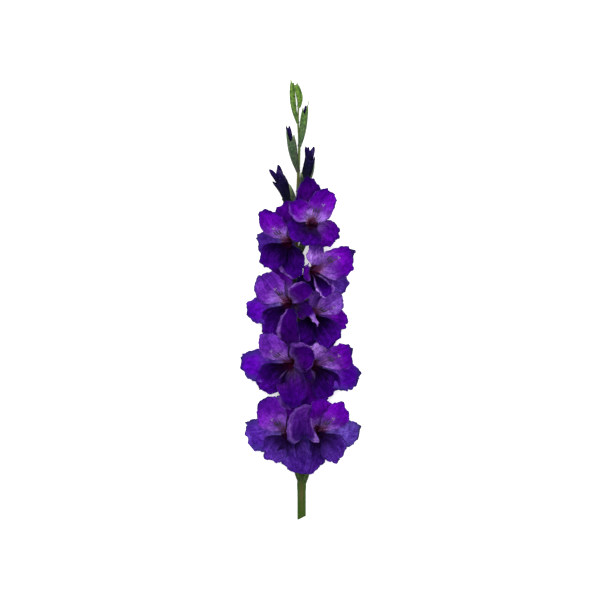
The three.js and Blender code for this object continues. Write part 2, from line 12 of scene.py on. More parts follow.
import bpy
import numpy as np
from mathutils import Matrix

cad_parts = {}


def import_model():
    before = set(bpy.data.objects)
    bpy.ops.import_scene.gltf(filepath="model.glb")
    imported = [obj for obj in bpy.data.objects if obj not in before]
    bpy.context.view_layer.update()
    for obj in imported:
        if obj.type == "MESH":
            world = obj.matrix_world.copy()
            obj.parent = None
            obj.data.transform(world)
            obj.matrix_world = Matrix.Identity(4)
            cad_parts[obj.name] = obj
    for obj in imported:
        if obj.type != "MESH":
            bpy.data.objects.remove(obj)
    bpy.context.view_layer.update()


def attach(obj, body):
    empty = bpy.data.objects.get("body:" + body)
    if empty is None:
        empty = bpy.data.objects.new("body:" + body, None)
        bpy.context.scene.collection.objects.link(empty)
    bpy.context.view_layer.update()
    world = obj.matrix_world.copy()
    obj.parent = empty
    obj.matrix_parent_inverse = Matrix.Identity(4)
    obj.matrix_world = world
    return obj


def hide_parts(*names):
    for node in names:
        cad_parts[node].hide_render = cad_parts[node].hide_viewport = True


MM = 0.001

# Camera and light
VIEW_MM_PER_PIXEL = 1.4
IMAGE_PIXELS = 600
VIEW_HEIGHT = 22  # height above the surface where the scale above holds
LENS = 200
SENSOR = 36  # its width
LIGHT_TARGET = (0, 0, 0.03)
LIGHTS = {  # place and diameter in metres, and watts
    "key": ((-0.3, 0.5, 1.8), 1.9, 36),
    "fill": ((0.9, -0.6, 1.5), 1.4, 10),
}
SKY_STRENGTH = 0.65
FLOOR_GLOW = 0.45
FLOOR_HALF = 6  # metres
FLOOR_DROP = 0.4  # how far it lies under the spike, so that the two don't flicker

# Stem
STEM_FOOT_Y = -306
STEM_TOP_Y = 277
STEM_FOOT_RADIUS = 6
STEM_TOP_RADIUS = 1.1
STEM_CENTRE_HEIGHT = 5.8
CUT_SLANT = 0.5
TAPER_FROM_Y = -240
STEM_LIFT = 8
LIFT_TO_Y = -60
STEM_ROWS = 260
STEM_SIDES = 48
STEM_SKIN = 0.1  # how much thinner the stem is than in the model, away from its nodes
NODE_SWELLING = 0.35
NODE_LENGTH = 3.5
STEM_RIDGES = ((9, 0.018, 0.4), (17, 0.012, 0))  # how many, how high and turned how far
CUT_LENGTH = 12
BEND_SPAN = 14
STEM_BENDS = [
    (2.2, -310), (2.1, -262), (2.4, -228), (1.5, -165), (-1, -92), (-3, -20), (-5.5, 58),
    (-4.5, 105), (-3, 152), (-2.2, 186), (-0.6, 218), (-3.4, 252), (-1.6, 277),
]

# Tube and funnel of a bloom
TUBE_FOOT_RADIUS = 2.3
TUBE_TOP_RADIUS = 5.4
TUBE_LEAD = (0.5, 1, 0.5)
TUBE_HANDLES = (0.4, 0.3)
FUNNEL_DEPTH = 14
FUNNEL_RADIUS = 4.4
FUNNEL_FLARE = 0.42
FUNNEL_WALL = 2.2
FUNNEL_LIP = 10
CAVITY_DEPTH = 6  # 3 mm more than in the model
TUBE_ROWS = 30
LIP_ROWS = 9
CAVITY_ROWS = 14
TUBE_SIDES = 36

# Tepals
TEPAL_ROOT_SHARE = 0.1
WHORL_OFFSET = 0.62
WHORL_ARCH = 0.15
RUFFLE = 2.6
RUFFLE_WAVES = 1.7
RUFFLE_SHIFT = 0.27
TIP_HANDLE = 0.35
ROLLED_SHARE = 0.4
TEPAL_THICKNESS = 0.45
TEPAL_COLUMNS = 44
TEPAL_ROWS = 60
FRILL_HEIGHT = 2
FRILL_LENGTH = 16  # of one wave along a tepal's edge
FRILL_FROM = 0.28
BASE_LAP = 1.2
NICK_DEPTH = 0.8
CREASE_DEPTH = 0.55
CREASE_WIDTH = 1.3
PLEATS = 5
PLEAT_HEIGHT = 0.12
CRUMPLE_HEIGHT = 0.45
CRUMPLE_LENGTHS = (9, 12, 15, 19)
CRUMPLE_FROM = 0.2

# Stamens and style
ANTHER_LENGTH = 10
ANTHER_RADIUS = 1.15
ANTHER_HEIGHT = 15
ANTHER_SPREAD = 3.6
ANTHER_SLOPE = 0.2
ANTHER_BOW = 0.9
GROOVE_DEPTH = 0.42  # as a share of the anther's radius
GROOVE_WIDTH = 0.45  # radians
STALK_HANDLE = (9, 2)
ROOT_SPREAD = 0.55
FILAMENT_RADIUS = 0.38
FILAMENT_SIDES = 12
FILAMENT_ROOT = 4  # how far under the funnel's foot they begin
STYLE_RISE = 4
STIGMA_LENGTH = 3.4
STIGMA_TURNS = (-2.2, 0.1, 2)
STIGMA_WIDTHS = (0.45, 1.35)

# Bracts
BRACT_THICKNESS = 0.6
BRACT_ROOM = 1.2
BRACT_FLARE = 0.6
BRACT_FOOT = 0.9
BRACT_TURN = 0.6
BRACT_TAPER = 1.5
BRACT_SIDES = 80
BRACT_ROWS = 36
RIBS = 22
RIB_HEIGHT = 0.09
KEEL_HEIGHT = 0.5
BRACTS = (0.74, 0.62, 0.3)  # how far the two tips and the clefts reach along what they sheathe

# Buds
BUD_FURROW = 0.18
BUD_TOOTH = 3
BUD_TIER_END = 0.9
BUD_TIER_THICKNESS = 0.5
BUD_TWIST = 2.4
BUD_HANDLES = (0.35, 0.35)
BUD_FOOT_SHARE = 0.38
BUD_SIDES = 80
BUD_OPEN_FROM = 0.75
BUD_LAP = 0.7  # how proud an edge stands, in a bud of the radius BUD_LAP_RADIUS
BUD_LAP_RADIUS = 9

USUAL = dict(
    curl=35, cup=0.15, widest=0.52, blunt=3.4, taper=0.56, sweep=0, lean=0, shade=0, grey=0,
    lit=(0, 0), pale=(2, 3), navy=0, fill=(0, 0),
)
USUAL_ARCH = 0.4
USUAL_FACE = (0.45, -0.12, 1)  # of a bloom on the right, and mirrored on the left


def petal(tip, half, **own):
    """The table of one tepal: its tip, half of its width, and what isn't usual about it"""
    return {**USUAL, "tip": tip, "half": half, **own}


def flower(table, *tepals):
    """The table of one bloom, with the tables of its tepals in turn round the throat"""
    return {**table, "tepals": tepals}


# The tepals' forms are those of the model, apart from what closes narrow slits: fill, how many
# millimetres further the foot of a tepal's right and left side reach, seen from above with the
# tip away; widest at 0.33 in place of 0.38; and half, 1 to 2.5 mm more in six tepals. Their
# looks are shade, how much darker one is painted, partly its own darker violet and partly
# painted shade where other tepals shadow it; grey, how greyish its violet is; navy, how dark
# blue its tip is; lit, a painted highlight in lilac along its right and left edges, where they
# catch the light; pale, the stretch of it that is lilac right across; and lower, how much it
# looks like a lower tepal, if its tip doesn't tell.
BLOOMS = [
    flower(
        dict(node=-263, side=1, throat=(29, -185, 42), anthers=(31, -169), stigma=(38, -164)),
        petal((27, -137, 50), 22, shade=0.3, fill=(0, 3)),
        petal((60, -143, 48), 21),
        petal((83, -187, 0.8), 22, curl=55, grey=0.9, navy=0.8),
        petal((56, -222, 22), 22, grey=0.5),
        petal(
            (14, -244, 20), 27, widest=0.33, via=((18, -199, 37), (10, -226, 32)), grey=0.4,
            fill=(13, 0),
        ),
        petal(
            (6, -189, 64), 28, widest=1.15, blunt=12, sweep=28,
            via=((20, -151, 56), (0, -144, 78)), across=(1, 0, 0), shade=0.7, grey=0.25,
            lit=(0.25, 0.4),
        ),
    ),
    flower(
        dict(node=-258, side=-1, throat=(-20, -187, 42), anthers=(-25, -170), stigma=(-30, -165)),
        petal((-25, -130, 32), 22, grey=0.5),
        petal((0, -147, 46), 17, shade=0.6),
        petal(
            (-4, -241, 38), 26, widest=0.33, via=((-10, -202, 51), (-2, -228, 47)), grey=0.6,
            fill=(0, 10),
        ),
        petal((-43, -223, 22), 22, grey=0.5),
        petal((-76, -188, 0.8), 25, blunt=4.2, curl=55, grey=0.35),
        petal((-49, -137, 48), 24, lean=-5, blunt=5, grey=0.1),
    ),
    flower(
        dict(node=-174, side=1, throat=(25, -92, 44), anthers=(37, -80), stigma=(45, -76)),
        petal((38, -58, 38), 23.5, grey=0.6, pale=(0.25, 0.7)),
        petal((73, -68, 42), 20, taper=0.75, blunt=5, shade=0.15, pale=(-1, 0.2), navy=0.7),
        petal((81, -112, 0.8), 24, lean=-6, curl=55, pale=(-1, 0.2), navy=0.4),
        petal((40, -137, 22), 24),
        petal((8, -151, 26), 27.5, widest=0.42, via=((17, -106, 40), (8, -132, 34)), lower=0.5),
        petal((2, -96, 50), 20, shade=0.8),
    ),
    flower(
        dict(node=-155, side=-1, throat=(-17, -88, 44), anthers=(-26, -75), stigma=(-31, -70)),
        petal((-11, -11, 58), 17, blunt=5, shade=0.85, lit=(0, 0.7)),
        petal((19, -72, 66), 24, shade=0.85, lit=(0, 0.5)),
        petal((-12, -149, 50), 25, widest=0.42, via=((-12, -104, 58), (-10, -130, 58)), lower=0.85),
        petal((-54, -125, 22), 23, fill=(0, 2)),
        petal((-83, -92, 0.8), 25, curl=55, navy=0.4),
        petal((-47, -46, 54), 20, lean=6, blunt=5, grey=0.3, pale=(-1, 0.22)),
    ),
    flower(
        dict(node=-100, side=1, throat=(20, -20, 46), anthers=(26, -12), stigma=(38, -9)),
        petal((33, 16, 41), 18, grey=0.7, shade=0.35),
        petal((58, 8, 46), 18, grey=0.7, shade=0.1),
        petal((64, -34, 10), 22),
        petal((46, -64, 42), 22),
        petal((2, -66, 38), 24.5, shade=0.2),
        petal((-3, -10, 42), 15, shade=0.5),
    ),
    flower(
        dict(
            node=-85, side=-1, throat=(-20, -5, 46), anthers=(-22, 11), stigma=(-26, 16),
            bracts=(0.7, 0.54, 0.3),
        ),
        petal((-30, 57, 26), 18, shade=0.5),
        petal((13, 21, 66), 15, lean=-5, taper=0.5, blunt=6, shade=0.7, lit=(0, 0.55)),
        petal(
            (25, -37, 64), 12, widest=0.3, blunt=1.7, taper=1,
            via=((-2, -3, 60), (15, -13, 72)), shade=0.3, pale=(0.7, 1.3),
        ),
        petal((-42, -52, 22), 24),
        petal((-74, -19, 6), 21, curl=55),
        petal((-54, 34, 44), 24, blunt=6, grey=0.25),
    ),
    flower(
        dict(node=-40, side=1, throat=(22, 40, 46), anthers=(36, 58), stigma=(45, 60)),
        petal((21, 84, 33), 15, grey=0.6, pale=(0.3, 0.55)),
        petal((75, 65, 42), 24, lean=4, widest=0.4, navy=0.7),
        petal((63, 14, 0.8), 21, curl=55, grey=0.5),
        petal((37, 4, 64), 13, blunt=7, shade=0.2, lit=(0.7, 0.6)),
        petal((2, 2, 30), 19, shade=0.3, fill=(7, 0)),
        petal((4, 38, 54), 13, blunt=6, shade=0.5, lit=(0.4, 0)),
    ),
    flower(
        dict(
            node=12, side=-1, throat=(-20, 80, 46), anthers=(-25, 95), stigma=(-28, 100),
            bracts=(0.55, 0.45, 0.3),
        ),
        petal((-18, 138, 41), 20, shade=0.5),
        petal((2, 104, 32), 17, shade=0.4),
        petal((-4, 31, 48), 23, shade=0.2, lit=(0.8, 0)),
        petal((-48, 46, 40), 21),
        petal((-60, 76, 0.8), 22, curl=55, grey=0.3, shade=0.45),
        petal((-44, 125, 46), 19, lean=13, blunt=7),
    ),
    flower(
        dict(
            node=56, side=1, throat=(17, 106, 56), face=(0.1, -0.05, 1), anthers=(21, 125),
            stigma=(30, 131),
        ),
        petal((10, 172, 50), 24, taper=0.85, blunt=3, shade=0.85),
        petal((39, 154, 52), 19, lean=-4, widest=0.34, blunt=5, shade=0.1),
        petal((50, 83, 36), 20, blunt=6, lower=0.4),
        petal((10, 76, 56), 18, blunt=5, lower=0.95),
        petal((-16, 92, 60), 17, blunt=8, lower=0.95),
        petal((-11, 136, 66), 15, blunt=7, shade=0.2, lit=(0, 0.4)),
    ),
]

# The buds' forms are those of the model, apart from tier, the turn and the flare of a lower
# row of tips; and buds 3 and 4, which are thicker and open wider. The bracts of bud 4 are
# turned too, so that its tip shows.
BUDS = [
    dict(
        node=112, side=-1, tip=(-34, 177, 26), slopes=(0.25, 0.6), radius=8.4, open=8, turn=2.2,
        bracts=(0.5, 0.7, 0.3), bract_turn=-0.3, tier=(2.8, 5),
    ),
    dict(
        node=150, side=1, tip=(13, 208, 24), slopes=(0.75, 0), radius=7, open=6, turn=0.3,
        bracts=(0.84, 0.5, 0.3), bract_turn=-0.2, tier=(1.95, 3),
    ),
    dict(
        node=180, side=-1, tip=(-16, 241, 20), slopes=(0.4, 0.25), radius=4.3, open=2.6, turn=1.2,
        bracts=(1.1, 0.84, 0.7), bract_turn=-0.2,
    ),
    dict(
        node=215, side=1, tip=(8.5, 272, 18), slopes=(0.3, 0.2), radius=2.9, open=0.8, turn=1.2,
        bracts=(1.14, 0.95, 0.8), bract_turn=0.1,
    ),
    dict(
        node=248, side=-1, tip=(-11, 304, 11), slopes=(0.4, 0), radius=2.2, open=0, turn=0,
        bracts=(1.1, 1.02, 0.98), bract_turn=0.6,
    ),
    dict(
        node=270, side=1, tip=(-5, 301, 21), slopes=(0.45, -0.3), radius=2.8, open=0, turn=0,
        bracts=(1.1, 1.02, 0.98), bract_turn=0.6,
    ),
]

X_WAY = np.array((1.0, 0.0, 0.0))


def mix(a, b, share):
    return a + (b - a) * share


def smooth(value):
    held = np.clip(value, 0.0, 1.0)
    return held * held * (3 - 2 * held)


def unit(vectors):
    return vectors / np.linalg.norm(vectors, axis=-1, keepdims=True)


def square(value, direction):
    """The part of a vector that lies square to a direction, at unit length"""
    return unit(value - direction * np.sum(value * direction, axis=-1, keepdims=True))


def scaled(direction, distance):
    """Directions, each times its own distance"""
    return direction * np.asarray(distance, float)[..., None]


def step_lengths(points):
    return np.linalg.norm(np.diff(points, axis=0), axis=1)


class Bezier:
    """A cubic Bezier curve, read at one share of its length or at an array of them"""

    def __init__(self, *points):
        self.points = [np.asarray(point, float) for point in points]

    def at(self, share):
        t = np.asarray(share, float)[..., None]
        a, b, c, d = self.points
        return (1 - t) ** 3 * a + 3 * (1 - t) ** 2 * t * b + 3 * (1 - t) * t**2 * c + t**3 * d

    def way(self, share):
        t = np.asarray(share, float)[..., None]
        a, b, c, d = self.points
        return unit((1 - t) ** 2 * (b - a) + 2 * (1 - t) * t * (c - b) + t**2 * (d - c))

    def length(self):
        return step_lengths(self.at(np.linspace(0, 1, 200))).sum()


def quads(rows, columns):
    """Faces of four between rings of points, with the row and the column of each corner"""
    row, column = np.meshgrid(np.arange(rows - 1), np.arange(columns), indexing="ij")
    row = row.reshape(-1, 1) + (0, 0, 1, 1)
    column = column.reshape(-1, 1) + (0, 1, 1, 0)
    return row * columns + column % columns, row, column


class Shape:
    """Points and faces gathered for one piece, with the values that its materials read

    A value that isn't told for some of the points is 0 there.
    """

    def __init__(self):
        self.parts = []
        self.values = {}
        self.count = 0

    def add(self, points, faces, corners, look, values):
        """points and values have one row for each point, and corners are the faces' UVs"""
        for name in {*self.values, *values}:
            earlier = self.values.setdefault(name, [np.zeros(self.count)])
            earlier.append(np.broadcast_to(values.get(name, 0.0), len(points)))
        self.parts.append((points, faces + self.count, corners, np.full(len(faces), look)))
        self.count += len(points)

    def grid(self, points, look=0, **values):
        """Rings of points, joined by faces of four"""
        rows, columns = points.shape[:2]
        faces, row, column = quads(rows, columns)
        corners = np.stack((column / columns, row / (rows - 1)), axis=-1)
        size = (rows, columns)
        flat = {name: np.broadcast_to(value, size).ravel() for name, value in values.items()}
        self.add(points.reshape(-1, 3), faces, corners, look, flat)

    def sheet(self, face, back, across, along, **values):
        """A thin closed sheet between two grids of points, with its UVs from across and along"""
        rows, columns = face.shape[:2]
        ring = np.concatenate((face, back[:, ::-1]), axis=1)
        around = np.concatenate((across, across[::-1]))
        width = 2 * columns
        faces = quads(rows, width)[0]
        place = np.arange(columns - 1)
        first = np.stack((place + 1, place, width - 1 - place, width - 2 - place), axis=-1)
        last = (rows - 1) * width + first[:, ::-1]
        faces = np.concatenate((faces, first, last))[:, ::-1]
        u = (np.tile(around, rows) + 1) / 2
        v = np.repeat(along, width)
        corners = np.stack((u[faces], v[faces]), axis=-1)
        flat = {"v": v, "behind": np.tile(np.repeat((0, 1), columns), rows)}
        for name, value in values.items():
            side = np.broadcast_to(value, (rows, columns))
            flat[name] = np.concatenate((side, side[:, ::-1]), axis=1).ravel()
        self.add(ring.reshape(-1, 3), faces, corners, 0, flat)


def add_object(name, data):
    made = bpy.data.objects.new(name, data)
    bpy.context.scene.collection.objects.link(made)
    return made


def make_piece(name, shape, looks, nodes):
    """A smooth-shaded object that stands for CAD nodes and takes its finish from a slot"""
    points, faces, corners, indices = (np.concatenate(part) for part in zip(*shape.parts))
    mesh = bpy.data.meshes.new(name)
    mesh.from_pydata((points * MM).tolist(), [], faces.tolist())
    uvs = mesh.uv_layers.new(name="UVMap").data
    uvs.foreach_set("uv", corners.astype(np.float32).ravel())
    for value_name, parts in shape.values.items():
        attribute = mesh.attributes.new(value_name, "FLOAT", "POINT")
        attribute.data.foreach_set("value", np.concatenate(parts).astype(np.float32))
    for look in looks:
        mesh.materials.append(look)
    mesh.polygons.foreach_set("material_index", indices.astype(np.int32))
    mesh.polygons.foreach_set("use_smooth", np.ones(len(faces), bool))
    mesh.update()
    piece = add_object(name, mesh)
    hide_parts(*nodes)
    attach(piece, "root")


def ring_points(centre, direction, radius, angle):
    """Rings of points round a curve, one for each row of centre and direction"""
    first = square(X_WAY, direction)
    second = np.cross(direction, first)
    return centre + scaled(first, radius * np.cos(angle)) + scaled(second, radius * np.sin(angle))


def round_angles(sides):
    return np.arange(sides) * math.tau / sides


def closed(outer, inner):
    """Rows of rings as one run, up the outer layer and back down the inner one"""
    return np.concatenate((outer, inner[::-1]))


def curve_between(start, lead, end, close, handles):
    """A curve that leaves start along lead and comes to end along close"""
    length = np.linalg.norm(end - start)
    first, last = handles
    return Bezier(start, start + lead * length * first, end - close * length * last, end)


def stem_at(y):
    """The centre of the stem at a height, which bends smoothly"""
    y = np.asarray(y, float)
    bends = np.array(STEM_BENDS, float)
    nearby = y[..., None] + np.linspace(-BEND_SPAN, BEND_SPAN, 9)
    x = np.interp(nearby, bends[:, 1], bends[:, 0]).mean(axis=-1)
    lift = STEM_LIFT * smooth((y - TAPER_FROM_Y) / (LIFT_TO_Y - TAPER_FROM_Y))
    return np.stack((x, y, STEM_CENTRE_HEIGHT + lift), axis=-1)


def stem_radius(y):
    share = np.clip((y - TAPER_FROM_Y) / (STEM_TOP_Y - TAPER_FROM_Y), 0, 1)
    return mix(STEM_FOOT_RADIUS, STEM_TOP_RADIUS, share**1.2)


def make_stem(looks):
    """The stem, with fine ridges, a swelling at each node and a slanting cut foot"""
    y = np.linspace(STEM_FOOT_Y, STEM_TOP_Y, STEM_ROWS)
    angle = round_angles(STEM_SIDES)
    radius = stem_radius(y)
    nodes = [entry["node"] for entry in BLOOMS + BUDS]
    swelling = sum(np.exp(-(((y - node) / NODE_LENGTH) ** 2)) for node in nodes)
    swelling = NODE_SWELLING * swelling * radius / STEM_FOOT_RADIUS
    radius = (radius - STEM_SKIN + swelling)[:, None]
    ridges = sum(height * np.cos(count * angle + turn) for count, height, turn in STEM_RIDGES)
    radius = radius * (1 + ridges)
    centre = stem_at(y)[:, None]
    points = np.stack(
        (centre[..., 0] + radius * np.cos(angle), np.broadcast_to(y[:, None], radius.shape),
         centre[..., 2] - radius * np.sin(angle)), axis=-1,
    )
    slant = CUT_SLANT * (points[..., 0] - centre[..., 0])
    fade = 1 - smooth((y - STEM_FOOT_Y) / CUT_LENGTH)
    points[..., 1] += slant * fade[:, None]
    points[..., 2] = np.maximum(points[..., 2], 0)
    shape = Shape()
    front = np.maximum(0, -np.sin(angle)) ** 8
    shape.grid(points, height=y[:, None], front=front)
    for end, look in ((0, 1), (-1, 0)):
        share = np.array((1, 0.86, 0.5, 0.02))[:, None, None]
        disc = mix(points[end].mean(axis=0), points[end], share)
        shape.grid(disc if end else disc[::-1], look, height=y[end])
    make_piece("stem_shoot", shape, looks, ["stem"])


def facing(bloom):
    """The way that the bloom looks"""
    across, along, up = USUAL_FACE
    return unit(np.array(bloom.get("face", (bloom["side"] * across, along, up)), float))


def funnel_foot(bloom):
    return np.array(bloom["throat"], float) - facing(bloom) * FUNNEL_DEPTH


def tube_curve(bloom):
    across, along, up = TUBE_LEAD
    lead = unit(np.array((bloom["side"] * across, along, up)))
    start = stem_at(bloom["node"])
    return curve_between(start, lead, funnel_foot(bloom), facing(bloom), TUBE_HANDLES)


def tube_radius(share):
    return mix(TUBE_FOOT_RADIUS, TUBE_TOP_RADIUS, share**1.5)


def add_tube(shape, bloom):
    """The tube and the funnel above it, thinning to a lip that the tepals hide"""
    curve = tube_curve(bloom)
    axis = facing(bloom)
    foot = funnel_foot(bloom)
    share = np.linspace(0, 0.97, TUBE_ROWS)
    rise = np.linspace(0, 1, LIP_ROWS)
    inside = mix(FUNNEL_LIP, -CAVITY_DEPTH, np.linspace(0.01, 1, CAVITY_ROWS))
    height = np.concatenate((FUNNEL_LIP * rise, inside))
    outward = np.concatenate((
        1 - 0.9 * smooth(rise), np.where(inside > 0, -1 + 1.05 * smooth(inside / FUNNEL_LIP), -1),
    ))
    middle = FUNNEL_RADIUS + FUNNEL_FLARE * np.maximum(height, 0)
    radius = middle + outward * FUNNEL_WALL / 2
    radius *= mix(1, 0.3, smooth(-height / CAVITY_DEPTH))
    centre = np.concatenate((curve.at(share), foot + scaled(axis, height)))
    direction = np.concatenate((curve.way(share), np.broadcast_to(axis, (len(height), 3))))
    radius = np.concatenate((tube_radius(share), radius))
    angle = round_angles(TUBE_SIDES)
    points = ring_points(centre[:, None], direction[:, None], radius[:, None], angle)
    depth = np.concatenate((mix(-1, 0, share), height / FUNNEL_LIP * 0.12))
    above = (points - centre[:, None])[..., 1] / np.maximum(radius, 0.1)[:, None]
    behind = np.concatenate((np.ones(TUBE_ROWS + LIP_ROWS), np.zeros(CAVITY_ROWS)))
    # The funnel is painted darker on its lower side, in the lower tepals' colours, partly painted
    # shade in the throat
    lower = mix(0.5, 1, smooth(0.5 - above))
    shape.grid(points, v=depth[:, None], lower=lower, behind=behind[:, None])


class Tepal:
    """The surface of one tepal, as in the model, with frills and a crease along its middle"""

    def __init__(self, bloom, form, index, seed):
        draw = np.random.default_rng(seed)
        self.index = index
        whorl = 1 if index % 2 == 0 else -1
        arch = USUAL_ARCH - whorl * WHORL_ARCH
        self.form = form
        axis = facing(bloom)
        foot = funnel_foot(bloom)
        tip = np.array(form["tip"], float)
        via = form.get("via")
        aim = np.array(via[0], float) if via else tip
        outward = square(aim - foot, axis)
        tip_outward = square(tip - foot, axis)
        root = foot + outward * (FUNNEL_RADIUS + whorl * WHORL_OFFSET)
        self.length = np.linalg.norm(tip - root)
        flare = math.atan(FUNNEL_FLARE)
        bend = math.radians(form["curl"])
        leaving = axis * math.cos(flare) + outward * math.sin(flare)
        arriving = tip_outward * math.cos(bend) - axis * math.sin(bend)
        self.midrib = Bezier(
            root,
            via[0] if via else root + leaving * arch * self.length,
            via[1] if via else tip - arriving * TIP_HANDLE * self.length,
            tip,
        )
        self.root_across = np.cross(axis, outward)
        self.tip_across = np.array(form.get("across", self.root_across), float)
        self.phases = draw.uniform(0, math.tau, 6)
        self.lower = form.get("lower", smooth(-0.4 - 2.2 * tip_outward[1]))
        self.side = smooth((form["curl"] - USUAL["curl"]) / 20) * (1 - self.lower)
        self.tint = draw.uniform(0, 1)
        self.crumples = draw.uniform(0, math.tau, (len(CRUMPLE_LENGTHS), 2))
        self.samples = np.linspace(0, 1, 300)
        self.edge_lengths = []
        for side in (-1.0, 1.0):
            edge = self.at(np.array([side]), self.samples, plain=True)[:, 0]
            self.edge_lengths.append(np.concatenate(([0], np.cumsum(step_lengths(edge)))))

    def rows(self):
        """Shares of the length, spread evenly both along the midrib and along the edges"""
        spread = sum(self.edge_lengths) / 2
        spread = spread / spread[-1] + 0.8 * self.samples
        return np.interp(np.linspace(0, spread[-1], TEPAL_ROWS), spread, self.samples)

    def outline(self, v):
        """The tepal's width at shares of its length, as a share of its widest"""
        rise = mix(TEPAL_ROOT_SHARE, 1, smooth(v / self.form["widest"]))
        fall = (1 - np.clip(v, 0, 1) ** self.form["blunt"]) ** self.form["taper"]
        return np.maximum(0.02, rise * fall)

    def at(self, across, along, plain=False):
        """Points for each row along and each column across"""
        u = across[None, :]
        v = along[:, None]
        form = self.form
        way = self.midrib.way(along)
        side = square(mix(self.root_across, self.tip_across, smooth(along)[:, None]), way)
        up = np.cross(way, side)
        width = self.outline(v)
        reach = form["half"] * width
        if not plain:
            reach = reach + BASE_LAP * (1 - smooth(v / 0.3))
        roll = mix(reach / FUNNEL_RADIUS, form["cup"], smooth(v / ROLLED_SHARE))
        turns = RUFFLE_WAVES * v + RUFFLE_SHIFT * self.index
        ruffle = RUFFLE * u**2 * smooth(v / 0.5) * np.sin(math.tau * turns + np.sign(u))
        sideways = reach * np.sin(roll * u) / roll
        upwards = reach * (1 - np.cos(roll * u)) / roll + ruffle
        forwards = (form["sweep"] * np.abs(u) + form["lean"] * u) * smooth(v) * width
        if not plain:
            right, left = form["fill"]
            low = smooth(v / 0.12) * (1 - smooth((v - 0.22) / 0.3))
            sideways = sideways + low * np.abs(u) * u * np.where(u < 0, right, left)
            near_edge = self.edge_share(u, v)
            wave, nick = self.frill(u, v)
            grown = smooth((v - FRILL_FROM) / 0.35)
            upwards = upwards + FRILL_HEIGHT * near_edge**4 * grown * wave
            sideways = sideways + NICK_DEPTH * near_edge**6 * grown * np.sign(u) * nick
            forwards = forwards + NICK_DEPTH * near_edge**6 * smooth((v - 0.7) / 0.25) * nick
            crease = np.exp(-((u * reach / CREASE_WIDTH) ** 2)) * (1 - v**3)
            crease = crease * smooth((v - 0.06) / 0.2)
            pleats = np.cos(math.tau * PLEATS * u + self.phases[5]) * smooth((v - 0.1) / 0.3)
            upwards = upwards - CREASE_DEPTH * crease
            upwards = upwards + PLEAT_HEIGHT * pleats * (1 - near_edge**3)
            crumpled = smooth((v - CRUMPLE_FROM) / 0.3)
            upwards = upwards + self.crumple(u * reach, v * self.length) * crumpled
        points = self.midrib.at(along)[:, None]
        points = points + side[:, None] * sideways[..., None] + up[:, None] * upwards[..., None]
        return points + way[:, None] * forwards[..., None]

    def crumple(self, x, y):
        """Uneven hollows and swellings of the blade, from its width and length in millimetres"""
        waves = [
            np.sin(math.tau / span * (x * math.cos(turn) + y * math.sin(turn)) + shift)
            for span, (turn, shift) in zip(CRUMPLE_LENGTHS, self.crumples)
        ]
        return CRUMPLE_HEIGHT * sum(waves)

    def edge_share(self, u, v):
        """0 in the middle of the blade and 1 all along its edge, round the tip too"""
        return 1 - (1 - np.abs(u)) * (1 - v**10)

    def frill(self, u, v):
        """The height of the waves along the edge, and the depth of its small nicks, -1 to 1"""
        left, right = (np.interp(v, self.samples, lengths) for lengths in self.edge_lengths)
        run = np.where(u < 0, left, right) * math.tau / FRILL_LENGTH
        a, b, c, d, e = (self.phases[place] + (u < 0) * (place + 1) for place in range(5))
        swell = 0.62 + 0.38 * np.sin(run * 0.31 + b)
        wave = swell * np.sin(run + 0.8 * np.sin(run * 0.43 + c) + a)
        nick = 0.65 * np.sin(run * 1.3 + d) + 0.35 * np.sin(run * 2.9 + e)
        return wave, nick

    def add_to(self, shape):
        spread = np.linspace(-1, 1, TEPAL_COLUMNS)
        across = np.sign(spread) * (1 - (1 - np.abs(spread)) ** 1.25)
        along = self.rows()
        points = self.at(across, along)
        points[..., 2] = np.maximum(points[..., 2], TEPAL_THICKNESS / 2)
        du = np.gradient(points, axis=1)
        dv = np.gradient(points, axis=0)
        inward = unit(np.cross(dv, du))
        u = across[None, :]
        v = along[:, None]
        edge = self.edge_share(u, v)
        half = TEPAL_THICKNESS / 2 * mix(1.5, 0.55, smooth(edge))
        sides = [points + scaled(inward, half), points - scaled(inward, half)]
        for surface in sides:
            surface[..., 2] = np.maximum(surface[..., 2], 0)
        shape.sheet(
            *sides, across, along, edge=edge, lower=self.lower, side=self.side, tint=self.tint,
            shade=self.form["shade"], grey=self.form["grey"], pale=self.lilac(u, v),
            navy=self.form["navy"] * smooth((v - 0.84) / 0.1),
        )

    def lilac(self, u, v):
        """How lilac the blade is along its lit edges, a painted highlight, and over its pale
        stretch
        """
        start, end = self.form["pale"]
        stretch = smooth((v - start) / 0.15) * (1 - smooth((v - end) / 0.15))
        right, left = self.form["lit"]
        edges = np.where(u < 0, right, left) * smooth((np.abs(u) - 0.6) / 0.32) * smooth(v / 0.3)
        return np.maximum(stretch, edges)


def make_perianth(number, bloom, looks):
    shape = Shape()
    add_tube(shape, bloom)
    for index, form in enumerate(bloom["tepals"]):
        Tepal(bloom, form, index, seed=number * 10 + index).add_to(shape)
    node = f"bloom_{number}_perianth"
    make_piece(f"bloom_{number}_petals", shape, looks, [node])


def stalk_curve(bloom, end, start, lean, away):
    axis = facing(bloom)
    throat = np.array(bloom["throat"], float)
    behind, below = STALK_HANDLE
    return Bezier(start, throat + axis + away, end - lean * behind - axis * below, end)


def add_filament(shape, curve, foot_radius, tip_share, rows, look):
    share = np.linspace(0, 1, rows)
    radii = (foot_radius, FILAMENT_RADIUS, FILAMENT_RADIUS * tip_share)
    radius = np.interp(share, (0, 0.5, 1), radii)[:, None]
    centre = curve.at(share)[:, None]
    direction = curve.way(share)[:, None]
    shape.grid(ring_points(centre, direction, radius, round_angles(FILAMENT_SIDES)), look)


